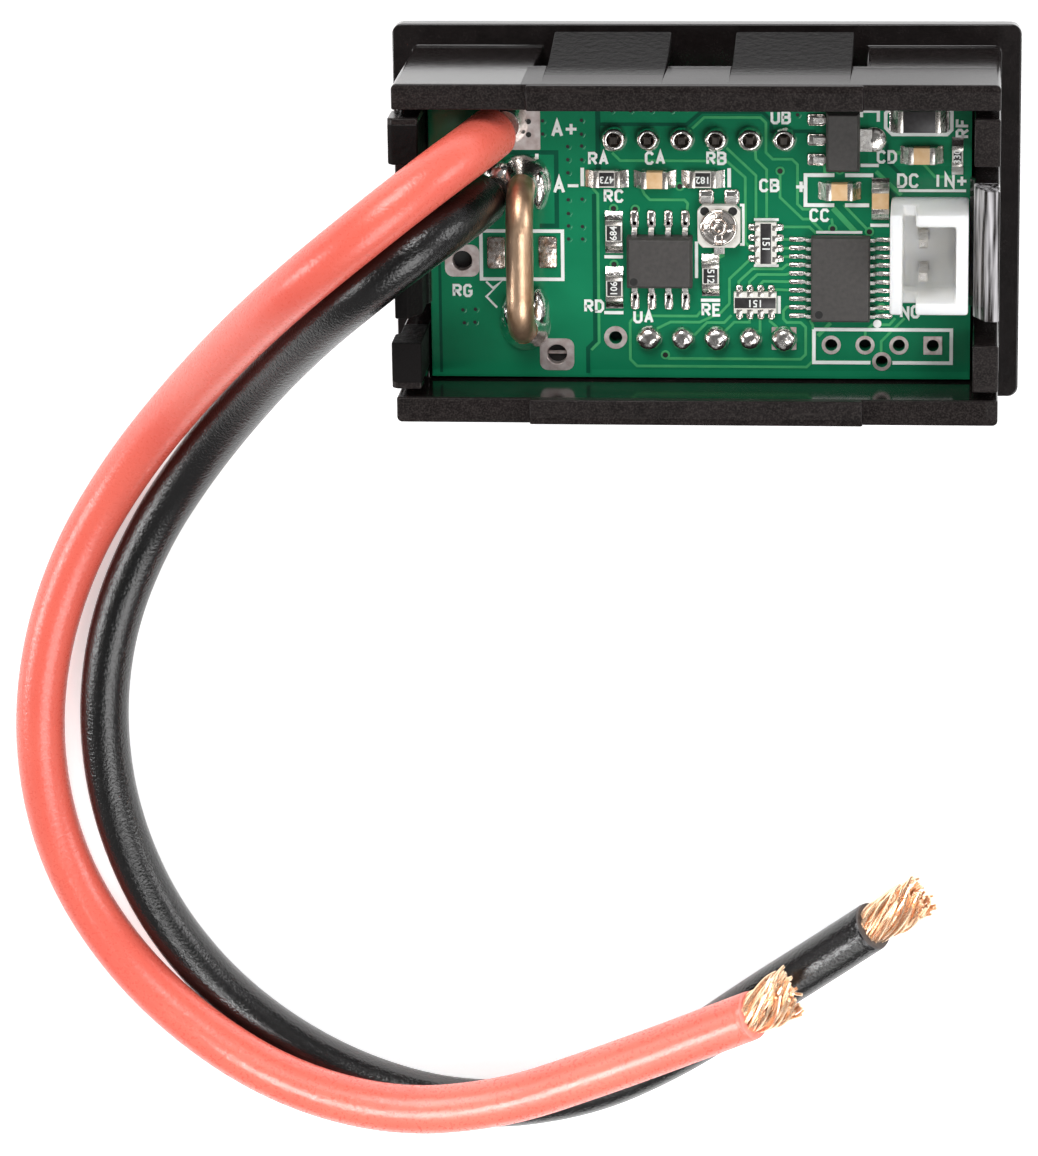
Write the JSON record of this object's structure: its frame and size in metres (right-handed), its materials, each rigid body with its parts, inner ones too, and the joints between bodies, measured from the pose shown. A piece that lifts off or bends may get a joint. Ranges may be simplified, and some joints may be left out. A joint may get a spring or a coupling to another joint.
{
  "type": "digital panel meter",
  "caption": "Digital panel meter for direct current, face down: black snap-in case, green circuit board with a wire shunt and a white supply header, and a red and a black lead.",
  "frame": {"origin": "centre of the bezel's front face, on the surface the meter lies on", "axes": "+Z to the rear of the meter, +X along its long side, +Y to its top edge"},
  "size_m": [0.0793, 0.0901, 0.0251],
  "materials": {
    "housing": "moulded black, satin",
    "filter": "clear tinted, polished",
    "display": "moulded grey",
    "segment": "milky",
    "tinned": "tinned",
    "solder": "smooth solder",
    "board": "green lacquer on glass laminate",
    "copper": "bare copper",
    "red_insulation": "glossy, slightly uneven",
    "black_insulation": "glossy, slightly uneven",
    "nylon": "moulded cream white",
    "package": "moulded dark grey",
    "resistor": "black glaze between tinned ends",
    "capacitor": "tan body between tinned ends",
    "trimmer_base": "white",
    "trimmer_metal": "stamped, plated"
  },
  "bodies": {
    "meter": {"housing": "housing", "window_filter": "filter", "display_case": "display", "left_digit": "segment", "middle_digit": "segment", "right_digit": "segment", "display_pins": "tinned", "header_pins": "tinned", "amplifier_leads": "tinned", "controller_leads": "tinned", "regulator_leads": "tinned", "trimmer_terminals": "tinned", "display_solder": "solder", "chip_solder": "solder", "shunt_solder": "solder", "red_joint": "solder", "black_joint": "solder", "circuit_board": "board", "shunt_wire": "copper", "red_strands": "copper", "black_strands": "copper", "red_lead": "red_insulation", "black_lead": "black_insulation", "header_shell": "nylon", "amplifier_body": "package", "controller_body": "package", "regulator_body": "package", "divider_resistor_a": "resistor", "divider_resistor_b": "resistor", "gain_resistor_a": "resistor", "gain_resistor_b": "resistor", "feedback_resistor": "resistor", "series_resistor": "resistor", "digit_resistor_array": "resistor", "segment_resistor_array": "resistor", "supply_diode": "resistor", "filter_capacitor": "capacitor", "supply_capacitor": "capacitor", "output_capacitor": "capacitor", "input_capacitor": "capacitor", "trimmer_base": "trimmer_base", "trimmer_rivet": "trimmer_metal"},
    "trimmer_rotor": {"trimmer_rotor": "trimmer_metal"}
  },
  "joints": [
    {"name": "trimmer_turn", "type": "hinge", "parent": "meter", "child": "trimmer_rotor", "pos_m": [0.0015, 0.0011, 0.01328], "axis": [0, 0, 1], "range_deg": [-120, 120]}
  ]
}
